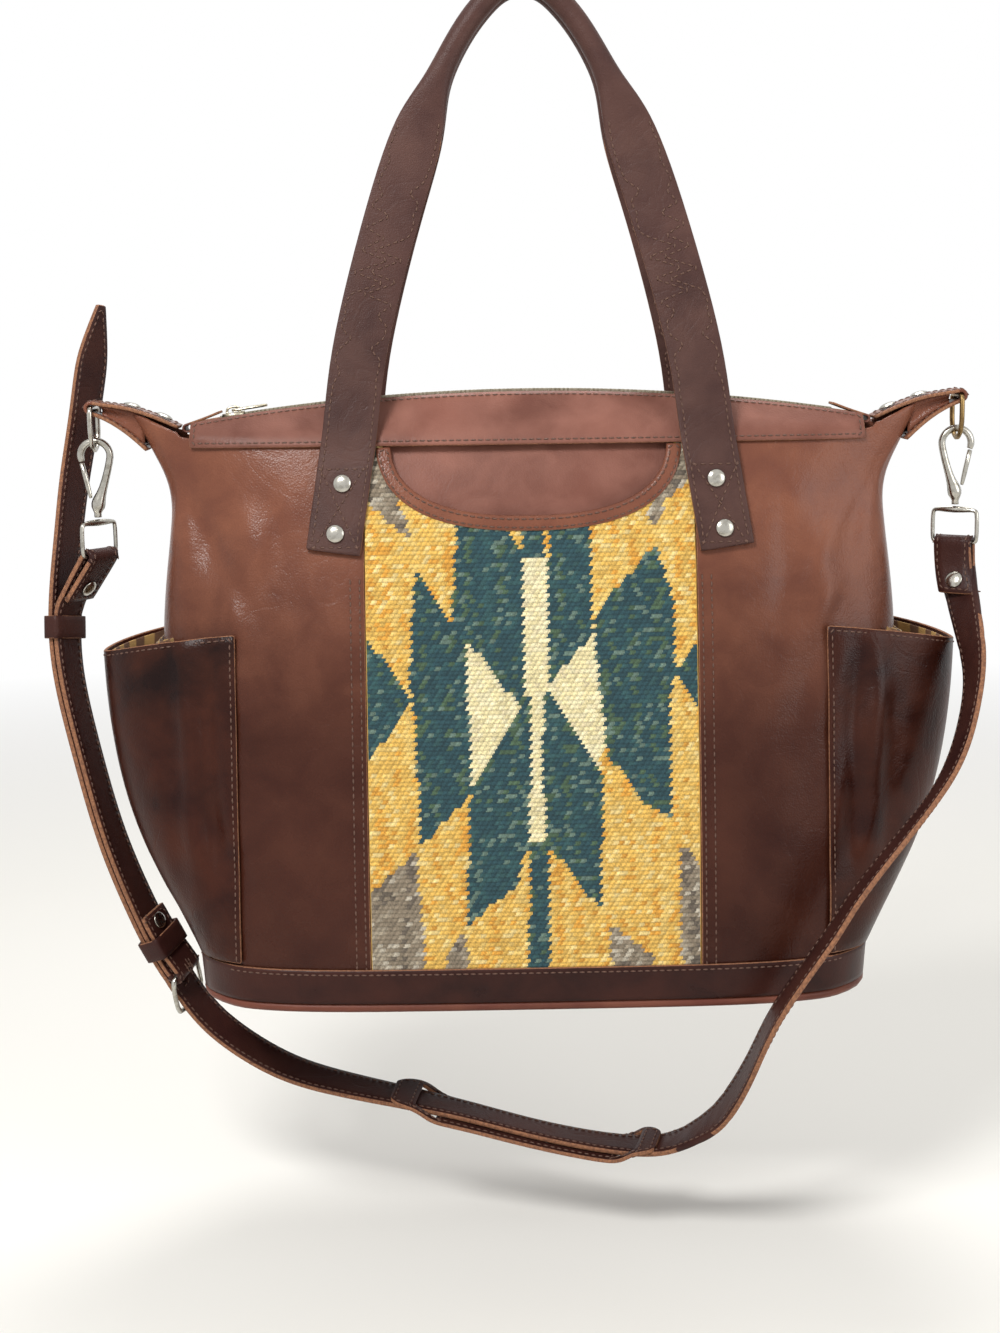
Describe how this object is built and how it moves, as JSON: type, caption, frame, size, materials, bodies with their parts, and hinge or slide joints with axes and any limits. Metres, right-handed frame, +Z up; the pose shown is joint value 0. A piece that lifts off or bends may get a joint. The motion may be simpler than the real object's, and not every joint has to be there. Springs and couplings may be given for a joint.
{
  "type": "leather tote bag",
  "caption": "Leather zip-top tote bag with a woven front panel, rolled handles, side pockets, winged top corners with D-rings and an adjustable shoulder strap on swivel hooks.",
  "frame": {"origin": "underside of the handles' highest point, midway between the two handles, where the bag hangs", "axes": "+Z up, +X to the right as seen from the front, the woven front faces -Y"},
  "size_m": [0.5345, 0.1923, 0.6655],
  "materials": {
    "body_leather": "waxy pull-up leather, reddish dark brown",
    "zip_leather": "mid-brown leather, soft",
    "band_leather": "dark brown leather, slight gloss",
    "piping_leather": "rubbed brown leather",
    "handle_leather": "purplish dark brown leather",
    "strap_leather": "dark brown strap leather with raw edges",
    "woven_textile": "flat-woven wool in gold, teal, cream and grey",
    "lining_cloth": "plain brown cloth",
    "pocket_cloth": "striped gold and brown cloth",
    "zip_tape": "dark brown zip tape",
    "zip_metal": "worn nickel",
    "nickel": "pale nickel plate",
    "antique_brass": "antique brass"
  },
  "bodies": {
    "bag": {"left_side_panel": "body_leather", "right_side_panel": "body_leather", "back_panel": "body_leather", "front_pocket_panel": "body_leather", "scoop_binding": "body_leather", "front_woven_panel": "woven_textile", "side_pocket_left": "body_leather", "side_pocket_right": "body_leather", "side_pocket_lining_left": "pocket_cloth", "side_pocket_lining_right": "pocket_cloth", "main_lining": "lining_cloth", "wing_tab_left": "body_leather", "wing_tab_right": "body_leather", "front_zip_panel": "zip_leather", "back_zip_panel": "zip_leather", "zip_end_tab_left": "zip_leather", "zip_end_tab_right": "zip_leather", "zip_tape_front": "zip_tape", "zip_tape_back": "zip_tape", "zip_chain": "zip_metal", "base_band": "band_leather", "bottom_panel": "band_leather", "base_piping": "piping_leather", "front_handle": "handle_leather", "back_handle": "handle_leather", "handle_rivet_front_left_upper": "nickel", "handle_rivet_front_left_lower": "nickel", "handle_rivet_front_right_upper": "nickel", "handle_rivet_front_right_lower": "nickel", "handle_rivet_back_left_upper": "nickel", "handle_rivet_back_left_lower": "nickel", "handle_rivet_back_right_upper": "nickel", "handle_rivet_back_right_lower": "nickel", "wing_rivet_left_inner": "nickel", "wing_rivet_left_outer": "nickel", "wing_rivet_right_inner": "nickel", "wing_rivet_right_outer": "nickel", "hook_eye_left": "nickel", "hook_eye_right": "nickel", "strap_long": "strap_leather", "strap_short": "strap_leather", "shoulder_pad": "strap_leather", "keeper_loose": "strap_leather", "keeper_fixed": "strap_leather", "buckle_frame": "nickel", "buckle_tongue": "nickel", "strap_rivet_left": "nickel", "strap_rivet_right": "nickel", "strap_rivet_buckle": "nickel"},
    "slider": {"zip_slider": "zip_metal"},
    "puller": {"zip_puller": "zip_metal"},
    "ring_left": {"d_ring_left": "nickel"},
    "ring_right": {"d_ring_right": "antique_brass"},
    "hook_left": {"hook_body_left": "nickel"},
    "hook_right": {"hook_body_right": "nickel"},
    "gate_left": {"hook_gate_left": "nickel"},
    "gate_right": {"hook_gate_right": "nickel"}
  },
  "joints": [
    {"name": "zip_run", "type": "hinge", "parent": "bag", "child": "slider", "pos_m": [0, 0, -1.37], "axis": [0, 1, 0], "range_deg": [0, 15.6]},
    {"name": "puller_lift", "type": "hinge", "parent": "slider", "child": "puller", "pos_m": [-0.1656, 0, -0.223], "axis": [0, -1, 0], "range_deg": [0, 110]},
    {"name": "ring_swing_left", "type": "hinge", "parent": "bag", "child": "ring_left", "pos_m": [-0.24437, 0, -0.22031], "axis": [0, 1, 0], "range_deg": [-5, 5]},
    {"name": "ring_swing_right", "type": "hinge", "parent": "bag", "child": "ring_right", "pos_m": [0.24437, 0, -0.22031], "axis": [0, 1, 0], "range_deg": [-5, 5]},
    {"name": "hook_swivel_left", "type": "hinge", "parent": "bag", "child": "hook_left", "pos_m": [-0.24437, 0, -0.2748], "axis": [0, 0, 1], "range_deg": [-30, 30]},
    {"name": "hook_swivel_right", "type": "hinge", "parent": "bag", "child": "hook_right", "pos_m": [0.24437, 0, -0.2748], "axis": [0, 0, 1], "range_deg": [-30, 30]},
    {"name": "gate_open_left", "type": "hinge", "parent": "hook_left", "child": "gate_left", "pos_m": [-0.24787, 0, -0.2713], "axis": [0, 1, 0], "range_deg": [0, 25], "stiffness_Nm_per_rad": 0.02, "springref_deg": -20.05},
    {"name": "gate_open_right", "type": "hinge", "parent": "hook_right", "child": "gate_right", "pos_m": [0.24787, 0, -0.2713], "axis": [0, -1, 0], "range_deg": [0, 25], "stiffness_Nm_per_rad": 0.02, "springref_deg": -20.05}
  ]
}
